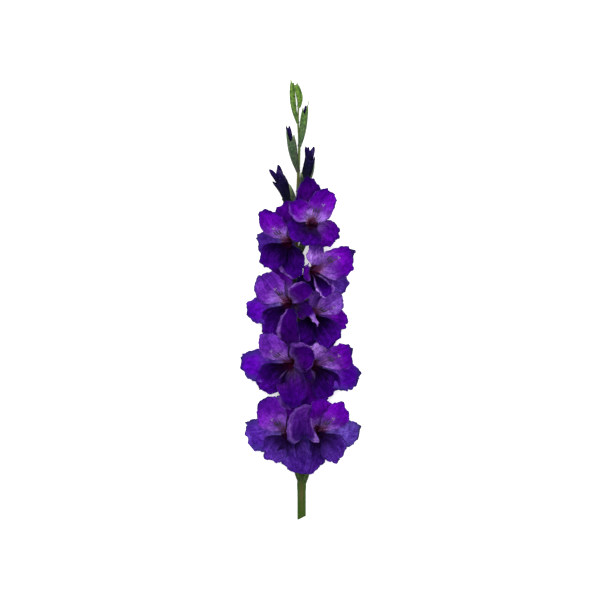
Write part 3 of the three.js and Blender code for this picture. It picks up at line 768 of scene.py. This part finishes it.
def add_anther(shape, centre, way, up, look):
    """A long anther with a groove along its face, pointed at both ends"""
    share = np.linspace(0, 1, 26)
    angle = round_angles(20)
    side = np.cross(way, up)
    width = ANTHER_RADIUS * np.maximum(0.03, np.sin(math.pi * share) ** 0.42)[:, None]
    width = width * (1 - 0.15 * share[:, None])
    groove = 1 - GROOVE_DEPTH * np.exp(-(((angle - math.pi / 2) / GROOVE_WIDTH) ** 2))
    bow = ANTHER_BOW * np.sin(math.pi * share)
    spine = centre + scaled(way, (share - 0.5) * ANTHER_LENGTH) + scaled(up, bow)
    points = spine[:, None] + scaled(side, width * np.cos(angle) * groove)
    points = points + scaled(up, width * 0.75 * np.sin(angle) * groove)
    shape.grid(points, look, groove=np.exp(-(((angle - math.pi / 2) / 0.3) ** 2)))


def add_stigma(shape, tip, way, across, look):
    """Three spoon-shaped lobes that open from the end of the style"""
    up = np.cross(way, across)
    share = np.linspace(0, 1, 18)
    angle = round_angles(12)
    for turn in STIGMA_TURNS:
        out = across * math.sin(turn) + up * math.cos(turn)
        leaf = Bezier(
            tip, tip + way * 1.6 + out * 0.4, tip + way * 2.4 + out * 2.4,
            tip + way * (STIGMA_LENGTH * 0.55) + out * (STIGMA_LENGTH * 0.8),
        )
        centre = leaf.at(share)
        direction = leaf.way(share)
        side = square(np.cross(way, out), direction)
        thin = np.cross(direction, side)
        width = (mix(*STIGMA_WIDTHS, smooth(share)) * (1 - share**5) ** 0.5)[:, None]
        points = centre[:, None] + scaled(side[:, None], np.maximum(0.02, width) * np.cos(angle))
        depth = np.maximum(0.02, 0.3 * width) * np.sin(angle)
        shape.grid(points + scaled(thin[:, None], depth), look)


def make_stamens(number, bloom, looks):
    """Three stamens and a style, which rise from the bottom of the funnel"""
    filament, anther, stigma = 0, 1, 2
    shape = Shape()
    axis = facing(bloom)
    foot = funnel_foot(bloom)
    throat = np.array(bloom["throat"], float)
    spread = FUNNEL_RADIUS - FUNNEL_WALL / 2
    head = [
        np.array((*bloom[part], throat[2])) + axis * height
        for part, height in (("anthers", ANTHER_HEIGHT), ("stigma", ANTHER_HEIGHT + STYLE_RISE))
    ]
    lean = unit(head[0] - throat)
    across = unit(np.cross(axis, lean))
    for turn in (-1, 0, 1):
        away = across * turn * spread * ROOT_SPREAD
        start = foot - axis * FILAMENT_ROOT + away * 0.6
        way = unit(lean + across * turn * ANTHER_SLOPE)
        middle = head[0] + across * turn * ANTHER_SPREAD
        up = square(axis, way)
        curve = stalk_curve(bloom, middle - up * 0.7, start, lean, away)
        add_filament(shape, curve, 0.75, 0.7, 24, filament)
        add_anther(shape, middle, way, up, anther)
    behind = lean * -spread * ROOT_SPREAD
    start = foot - axis * FILAMENT_ROOT + behind * 0.5
    curve = stalk_curve(bloom, head[1], start, lean, behind)
    add_filament(shape, curve, 0.7, 0.9, 34, filament)
    add_stigma(shape, head[1], curve.way(1.0), across, stigma)
    name = f"bloom_{number}_pistil_and_stamens"
    make_piece(name, shape, looks, [f"bloom_{number}_stamens"])


def make_bracts(name, entry, curve, radius_at, looks):
    """A pair of bracts that sheathes a tube or a bud, with a keel and fine ribs"""
    reaches = entry.get("bracts", BRACTS)
    up = entry.get("bract_turn", BRACT_TURN)
    turn = round_angles(BRACT_SIDES)
    v = np.linspace(0, 1, BRACT_ROWS)[:, None]
    apart = np.abs(np.cos(turn)) ** BRACT_TAPER
    point = np.where(np.cos(turn) > 0, reaches[0], reaches[1])
    share = v * mix(reaches[2], point, apart)
    held = np.clip(share, 0, 1)
    direction = curve.way(held)
    centre = curve.at(held) + scaled(direction, np.maximum(0, share - 1) * curve.length())
    layers = []
    for layer in (1, 0):
        inner = (radius_at(held) + BRACT_ROOM) * mix(BRACT_FOOT, 1, smooth(v / 0.3))
        ribs = RIB_HEIGHT * np.cos(RIBS * turn) * smooth(v / 0.2) * (1 - v**4)
        keel = KEEL_HEIGHT * np.exp(-((np.sin(turn) / 0.12) ** 2)) * smooth(v / 0.2)
        radius = inner + layer * BRACT_THICKNESS + BRACT_FLARE * v**2 + ribs + keel
        angle = (-up if entry["side"] > 0 else math.pi + up) + turn
        layers.append(ring_points(centre, direction, radius, angle))
    points = closed(*layers)
    rim = apart * v**3
    shape = Shape()
    shape.grid(points, height=points[..., 1], rim=closed(rim, rim))
    make_piece(name + "_sheath", shape, looks, [name + "_bracts"])


def bud_curve(bud):
    lead, close = (unit(np.array((bud["side"] * slope, 1, 0.1))) for slope in bud["slopes"])
    end = np.array(bud["tip"], float)
    return curve_between(stem_at(bud["node"]), lead, end, close, BUD_HANDLES)


def bud_radius(bud, share):
    swell = mix(BUD_FOOT_SHARE, 1, smooth(share / 0.6))
    return bud["radius"] * swell * np.maximum(0.1, np.sqrt(1 - share**4))


def add_tier(shape, bud, angle):
    """The outer whorl of a half open bud, which ends lower down with three pointed lips"""
    curve = bud_curve(bud)
    turn, flare = bud["tier"]
    lips = ((1 + np.cos(3 * (angle - turn))) / 2) ** BUD_TOOTH
    v = np.linspace(0, 1, BRACT_ROWS)[:, None]
    share = v * mix(BUD_TIER_END - 0.1, BUD_TIER_END, lips)
    direction = curve.way(share)
    layers = []
    for layer in (1, 0):
        radius = bud_radius(bud, share) + 0.5 + layer * BUD_TIER_THICKNESS
        radius = radius + flare * lips * smooth((v - 0.7) / 0.3)
        layers.append(ring_points(curve.at(share), direction, radius, angle))
    from_foot = closed(v, v)
    shape.grid(closed(*layers), v=from_foot * BUD_TIER_END, lap=from_foot**12)


def make_bud(number, bud, looks):
    """The furled tepals of a bud: three lobes that wind round each other, each edge proud"""
    share = np.concatenate((np.linspace(0, 0.9, 46), np.linspace(0.91, 1, 18)))
    angle = round_angles(BUD_SIDES)
    v = share[:, None]
    curve = bud_curve(bud)
    turned = 3 * (angle - bud["turn"]) - BUD_TWIST * (1 - v)
    lobe = (1 + np.cos(turned)) / 2
    wound = ((turned + 0.9) / math.tau) % 1
    lap = BUD_LAP * wound**3 * smooth(v / 0.3) * bud["radius"] / BUD_LAP_RADIUS
    opened = smooth((v - BUD_OPEN_FROM) / (1 - BUD_OPEN_FROM))
    spread = bud["open"] * opened
    tooth = lobe ** mix(1, BUD_TOOTH, opened)
    radius = bud_radius(bud, v) * mix(1 - BUD_FURROW, 1, lobe) + spread * tooth + lap
    direction = curve.way(share)[:, None]
    points = ring_points(curve.at(share)[:, None], direction, radius, angle)
    points = points + direction * (1.2 * spread * tooth)[..., None]
    mouth = points[-1].mean(axis=0) - curve.way(1.0) * bud["radius"] * 0.5
    shape = Shape()
    shape.grid(points, v=v, lap=wound)
    inward = np.linspace(0, 0.98, 8)[:, None, None]
    shape.grid(mix(points[-1], mouth, inward), v=1, lap=0.5)
    if "tier" in bud:
        add_tier(shape, bud, angle)
    make_piece(f"bud_{number}_furled", shape, looks, [f"bud_{number}_petals"])


class Look:
    """A procedural material, with short names for the nodes that it is made of"""

    def __init__(self, name, **settings):
        self.material = bpy.data.materials.new(name)
        self.material.use_nodes = True
        self.tree = self.material.node_tree
        self.shader = self.tree.nodes["Principled BSDF"]
        for socket, value in settings.items():
            self.shader.inputs[socket.replace("_", " ")].default_value = value

    def node(self, kind, values=None, **settings):
        """A node with these settings, whose inputs are fed with the values"""
        made = self.tree.nodes.new("ShaderNode" + kind)
        for name, value in settings.items():
            setattr(made, name, value)
        for name, value in (values or {}).items():
            self.put(made.inputs[name], value)
        return made

    def put(self, socket, value):
        """Feed a socket from another socket, or set it to a number or colour"""
        if isinstance(value, bpy.types.NodeSocket):
            self.tree.links.new(value, socket)
        elif isinstance(value, tuple) and len(value) == 3 and socket.type == "RGBA":
            socket.default_value = (*value, 1)
        else:
            socket.default_value = value

    def value(self, name):
        """A value that the mesh holds for each point"""
        return self.node("Attribute", attribute_name=name).outputs["Fac"]

    def math(self, operation, a, b=0, c=0):
        return self.node("Math", {0: a, 1: b, 2: c}, operation=operation).outputs[0]

    def times(self, a, b):
        return self.math("MULTIPLY", a, b)

    def band(self, value, low, high, start=0, end=1):
        """value's smooth run from low to high, as a run from start to end"""
        ends = {"From Min": low, "From Max": high, "To Min": start, "To Max": end}
        made = self.node("MapRange", {"Value": value, **ends}, interpolation_type="SMOOTHSTEP")
        return made.outputs["Result"]

    def mix(self, share, a, b, blend="MIX"):
        inputs = {0: share, 6: a, 7: b}
        return self.node("Mix", inputs, data_type="RGBA", blend_type=blend).outputs[2]

    def toned(self, share, colour, high, low=(1, 1, 1)):
        """The colour, times high where share is 1 and times low where it is 0"""
        multiplied = [self.mix(1, colour, factor, "MULTIPLY") for factor in (low, high)]
        return self.mix(share, *multiplied)

    def ramp(self, value, stops):
        """Colours at places along value"""
        made = self.node("ValToRGB", {0: value})
        elements = made.color_ramp.elements
        while len(elements) < len(stops):
            elements.new(0.5)
        for element, (place, colour) in zip(elements, stops):
            element.position = place
            element.color = (*colour, 1)
        return made.outputs["Color"]

    def stretched(self, u, v, shift=0, sway=0):
        """The UV place, stretched by u across and v along, and moved across by sway"""
        place = self.node("TexCoord").outputs["UV"]
        scaled_place = self.node("VectorMath", {0: place, 1: (u, v, 1)}, operation="MULTIPLY")
        moved = self.node("CombineXYZ", {"X": sway, "Z": shift})
        places = {0: scaled_place.outputs[0], 1: moved.outputs[0]}
        return self.node("VectorMath", places, operation="ADD").outputs[0]

    def noise(self, place, scale, detail=3):
        inputs = {"Vector": place, "Scale": scale, "Detail": detail}
        return self.node("TexNoise", inputs).outputs["Fac"]

    def grain(self, scale, detail=2):
        """Noise that is set by the place on the object, in metres"""
        return self.noise(self.node("TexCoord").outputs["Object"], scale, detail)

    def finish(self, colour, height=None, distance=0.0002, strength=1):
        """Set the colour, and the bump where a height is given, and return the material"""
        self.put(self.shader.inputs["Base Color"], colour)
        if height is not None:
            inputs = {"Height": height, "Distance": distance, "Strength": strength}
            made = self.node("Bump", inputs)
            self.put(self.shader.inputs["Normal"], made.outputs["Normal"])
        return self.material


def tepal_look():
    """Velvety violet: lilac towards the throat above, and nearly black there below, partly a dark
    blotch and partly painted shade, finely veined
    """
    look = Look("tepal_velvet", Roughness=0.7, Specular_IOR_Level=0.005)
    v, lower, side, edge = (look.value(name) for name in ("v", "lower", "side", "edge"))
    tint = look.times(look.value("tint"), 9)
    clouds = look.grain(60, 3)
    bent = look.math("MULTIPLY_ADD", clouds, 3, -1.5)
    dashes = look.noise(look.stretched(15, 8, tint, bent), 1, 4)
    mottles = look.math("MULTIPLY_ADD", look.grain(170, 4), 0.4, look.times(dashes, 0.6))
    run = look.math("ADD", v, look.math("MULTIPLY_ADD", clouds, 0.3, -0.15))
    streaks = look.noise(look.stretched(26, 1.6, tint, bent), 1, 5)
    rayed = look.math("ADD", run, look.math("MULTIPLY_ADD", streaks, 0.4, -0.2))
    upper = look.ramp(rayed, [
        (0, (0.15, 0.01, 0.045)), (0.09, (0.19, 0.03, 0.12)), (0.17, (0.27, 0.11, 0.4)),
        (0.26, (0.2, 0.07, 0.42)), (0.42, (0.115, 0.014, 0.29)), (0.6, (0.09, 0.0012, 0.27)),
        (0.86, (0.07, 0.0006, 0.24)), (1, (0.036, 0.0006, 0.16)),
    ])
    # The lower tepals: nearly black near the throat, partly their own dark blotch and partly
    # painted shade
    under = look.ramp(rayed, [
        (0, (0.026, 0.001, 0.01)), (0.07, (0.012, 0.0008, 0.013)), (0.2, (0.004, 0.0004, 0.011)),
        (0.34, (0.006, 0.0005, 0.024)), (0.5, (0.014, 0.0006, 0.062)), (0.7, (0.027, 0.0007, 0.12)),
        (0.95, (0.04, 0.001, 0.175)),
    ])
    colour = look.mix(lower, upper, under)
    greyed = look.mix(lower, (0.13, 0.045, 0.32), (0.06, 0.018, 0.23))
    grey = look.times(look.value("grey"), look.band(run, 0.25, 0.6, 0.2, 0.85))
    colour = look.mix(grey, colour, greyed)
    # shade darkens a tepal: partly its own darker violet, partly painted shade where other tepals
    # shadow it
    colour = look.toned(look.value("shade"), colour, (0.14, 0.1, 0.2))
    # pale holds the lilac stretch, the tepal's own colour, and the lit edges, a painted highlight
    # where edges catch the light
    lilac = look.times(look.value("pale"), look.band(mottles, 0.3, 0.55, 0.6, 1))
    colour = look.mix(lilac, colour, (0.24, 0.08, 0.46))
    for share, *tones in (
        (look.band(mottles, 0.36, 0.62), (1.3, 1.5, 1.2), (0.66, 0.6, 0.72)),
        (look.times(side, 0.8), (0.68, 1, 1.06)),
        (look.band(look.grain(430, 3), 0.36, 0.64), (1.15, 1.3, 1.12), (0.84, 0.74, 0.87)),
        (look.band(look.grain(38), 0.34, 0.66), (1.3, 1.5, 1.24), (0.7, 0.58, 0.78)),
        (look.band(streaks, 0.52, 0.66, 0, 0.75), (1.5, 2.2, 1.35)),
        (look.band(streaks, 0.46, 0.34, 0, 0.6), (0.55, 0.4, 0.65)),
    ):
        colour = look.toned(share, colour, *tones)
    blue = look.times(look.band(edge, 0.45, 0.9, 0, 0.7), side)
    blue = look.times(blue, look.band(clouds, 0.35, 0.55, 0.3, 1))
    colour = look.mix(blue, colour, (0.03, 0.02, 0.15))
    patchy = look.band(clouds, 0.4, 0.6)
    margin = look.times(look.band(edge, 0.84, 0.97), look.times(patchy, 0.7))
    colour = look.mix(margin, colour, (0.01, 0.006, 0.07))
    # A thin painted highlight along the very edge of the upper tepals, in patches
    elsewhere, above = (look.math("SUBTRACT", 1, value) for value in (patchy, lower))
    thin = look.times(look.band(edge, 0.955, 0.985, 0, 0.5), look.times(elsewhere, above))
    colour = look.mix(thin, colour, (0.17, 0.07, 0.34))
    outer = look.mix(look.band(v, -0.6, 0.1), (0.08, 0.1, 0.045), (0.035, 0.005, 0.12))
    outer = look.mix(look.band(streaks, 0.3, 0.75, 0, 0.6), outer, (0.07, 0.02, 0.2))
    colour = look.mix(look.value("behind"), colour, outer)
    dark_tip = look.times(look.value("navy"), look.band(mottles, 0.35, 0.55, 0.6, 1))
    colour = look.mix(dark_tip, colour, (0.008, 0.009, 0.045))
    return look.finish(colour, look.math("MULTIPLY_ADD", mottles, 0.8, streaks), 0.0006, 0.9)


def bud_look():
    """Nearly black violet, green at its foot and with a paler line along each lap"""
    look = Look("bud_velvet", Roughness=0.65, Specular_IOR_Level=0.01)
    streaks = look.noise(look.stretched(34, 1.5), 1, 4)
    colour = look.ramp(look.value("v"), [
        (0, (0.04, 0.06, 0.025)), (0.3, (0.007, 0.008, 0.012)), (0.6, (0.003, 0.003, 0.01)),
        (0.84, (0.003, 0.002, 0.015)), (1, (0.009, 0.002, 0.048)),
    ])
    colour = look.toned(look.band(streaks, 0.45, 0.7, 0, 0.8), colour, (2.1, 2.1, 1.9))
    mottles = look.band(look.grain(220, 4), 0.5, 0.66, 0, 0.3)
    colour = look.mix(mottles, colour, (0.016, 0.01, 0.045))
    edge = look.band(look.value("lap"), 0.86, 1, 0, 0.45)
    colour = look.mix(edge, colour, (0.06, 0.04, 0.13))
    return look.finish(colour, streaks, 0.0004, 0.7)


def bract_look():
    """Green leaf with parallel veins, brownish low on the spike and yellow-green at its top"""
    look = Look("bract_leaf", Roughness=0.6, Specular_IOR_Level=0.15)
    height = look.value("height")
    colour = look.ramp(look.band(height, -310, 310), [
        (0, (0.02, 0.045, 0.006)), (0.4, (0.035, 0.055, 0.018)), (0.75, (0.036, 0.056, 0.022)),
        (0.9, (0.026, 0.044, 0.021)), (0.945, (0.036, 0.074, 0.031)), (1, (0.072, 0.15, 0.016)),
    ])
    veins = look.noise(look.stretched(46, 1.4), 1, 4)
    for share, *tones in (
        (look.band(veins, 0.38, 0.58), (1.4, 1.3, 1.35), (0.5, 0.62, 0.7)),
        (look.band(look.grain(320, 4), 0.4, 0.62), (1.6, 1.4, 1.3), (0.5, 0.62, 0.65)),
    ):
        colour = look.toned(share, colour, *tones)
    patches = look.band(look.grain(110, 3), 0.5, 0.68)
    dusk = look.times(patches, look.band(height, 270, 200, 0, 0.6))
    colour = look.mix(dusk, colour, (0.05, 0.04, 0.035))
    rim = look.band(look.value("rim"), 0.35, 1, 0, 0.7)
    colour = look.mix(rim, colour, (0.2, 0.27, 0.13))
    return look.finish(colour, veins, 0.0005, 0.9)


def stem_look():
    """Green at the cut foot, straw coloured among the blooms and light green at the top"""
    look = Look("stem_skin", Roughness=0.6, Specular_IOR_Level=0.04)
    height = look.value("height")
    colour = look.ramp(look.band(height, -310, 290), [
        (0, (0.018, 0.074, 0.002)), (0.12, (0.036, 0.05, 0.016)), (0.45, (0.15, 0.13, 0.065)),
        (0.78, (0.18, 0.16, 0.08)), (0.85, (0.14, 0.18, 0.06)), (1, (0.1, 0.23, 0.045)),
    ])
    streaks = look.noise(look.stretched(40, 6), 1, 4)
    colour = look.toned(look.band(streaks, 0.35, 0.68), colour, (1, 1, 1), (0.6, 0.64, 0.55))
    blotches = look.band(look.grain(70, 3), 0.45, 0.65)
    patchy = look.times(blotches, look.band(height, -230, -120, 0.2, 0.5))
    colour = look.mix(patchy, colour, (0.085, 0.07, 0.03))
    brown = look.times(look.value("front"), look.band(height, -300, -262, 0.3, 0.95))
    brown = look.times(brown, look.band(streaks, 0.34, 0.56))
    colour = look.mix(brown, colour, (0.085, 0.058, 0.026))
    return look.finish(colour, streaks, 0.0004, 0.8)


def pith_look():
    look = Look("stem_cut", Roughness=0.7, Specular_IOR_Level=0.3)
    grain = look.grain(2200)
    colour = look.mix(look.band(grain, 0.4, 0.62), (0.42, 0.45, 0.24), (0.26, 0.31, 0.13))
    return look.finish(colour, grain, 0.0003)


def filament_look():
    look = Look(
        "filament", Roughness=0.5, Specular_IOR_Level=0.35, Subsurface_Weight=0.1,
        Subsurface_Radius=(0.001, 0.0005, 0.001),
    )
    return look.finish(look.mix(look.grain(500), (0.05, 0.006, 0.04), (0.1, 0.02, 0.1)))


def anther_look():
    look = Look("anther", Roughness=0.7, Specular_IOR_Level=0.25)
    grain = look.grain(1600)
    colour = look.mix(grain, (0.004, 0.002, 0.014), (0.012, 0.005, 0.035))
    colour = look.mix(look.times(look.value("groove"), 0.5), colour, (0.2, 0.1, 0.3))
    return look.finish(colour, grain)


def stigma_look():
    look = Look("stigma", Roughness=0.75, Specular_IOR_Level=0.2, Sheen_Weight=0.3)
    grain = look.grain(1400)
    return look.finish(look.mix(grain, (0.1, 0.045, 0.2), (0.2, 0.1, 0.32)), grain)


def make_floor():
    look = Look(
        "pale_surface", Roughness=0.9, Specular_IOR_Level=0.1, Emission_Strength=FLOOR_GLOW,
        Emission_Color=(1, 1, 1, 1),
    )
    colour = look.mix(look.grain(40), (0.9, 0.9, 0.9), (0.93, 0.93, 0.93))
    corners = [
        (x * FLOOR_HALF, y * FLOOR_HALF, 0) for x, y in ((-1, -1), (1, -1), (1, 1), (-1, 1))
    ]
    mesh = bpy.data.meshes.new("surface")
    mesh.from_pydata(corners, [], [(0, 1, 2, 3)])
    mesh.materials.append(look.finish(colour))
    floor = add_object("surface", mesh)
    floor.location.z = -FLOOR_DROP * MM


def add_light(name, place, size, watts):
    """A round lamp that points at LIGHT_TARGET"""
    data = bpy.data.lights.new(name, "AREA")
    data.shape = "DISK"
    data.size = size
    data.energy = watts
    light = add_object(name, data)
    x, y, z = np.array(LIGHT_TARGET) - np.array(place)
    down = math.atan2(math.hypot(x, y), -z)
    light.location = place
    light.rotation_euler = (down, 0, math.atan2(y, x) - math.pi / 2)


def light_studio():
    for name, settings in LIGHTS.items():
        add_light(name, *settings)
    world = bpy.data.worlds.new("studio")
    world.use_nodes = True
    sky = world.node_tree.nodes["Background"].inputs
    sky["Color"].default_value = (1, 1, 1, 1)
    sky["Strength"].default_value = SKY_STRENGTH
    bpy.context.scene.world = world


def add_camera():
    """Straight above the spike, at the height where a pixel is VIEW_MM_PER_PIXEL"""
    data = bpy.data.cameras.new("view")
    data.lens = LENS
    data.sensor_width = SENSOR
    distance = VIEW_MM_PER_PIXEL * IMAGE_PIXELS * LENS / SENSOR
    camera = add_object("view", data)
    camera.location = (0, 0, (VIEW_HEIGHT + distance) * MM)
    bpy.context.scene.camera = camera


def main():
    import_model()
    bpy.context.scene.view_settings.view_transform = "Standard"
    tepal_looks = [tepal_look()]
    bud_looks = [bud_look()]
    bract_looks = [bract_look()]
    stamen_looks = [filament_look(), anther_look(), stigma_look()]
    make_stem([stem_look(), pith_look()])
    for number, bloom in enumerate(BLOOMS, start=1):
        make_perianth(number, bloom, tepal_looks)
        make_stamens(number, bloom, stamen_looks)
        make_bracts(f"bloom_{number}", bloom, tube_curve(bloom), tube_radius, bract_looks)
    for number, bud in enumerate(BUDS, start=1):
        make_bud(number, bud, bud_looks)
        make_bracts(
            f"bud_{number}", bud, bud_curve(bud),
            lambda share, bud=bud: bud_radius(bud, share), bract_looks,
        )
    make_floor()
    light_studio()
    add_camera()


main()
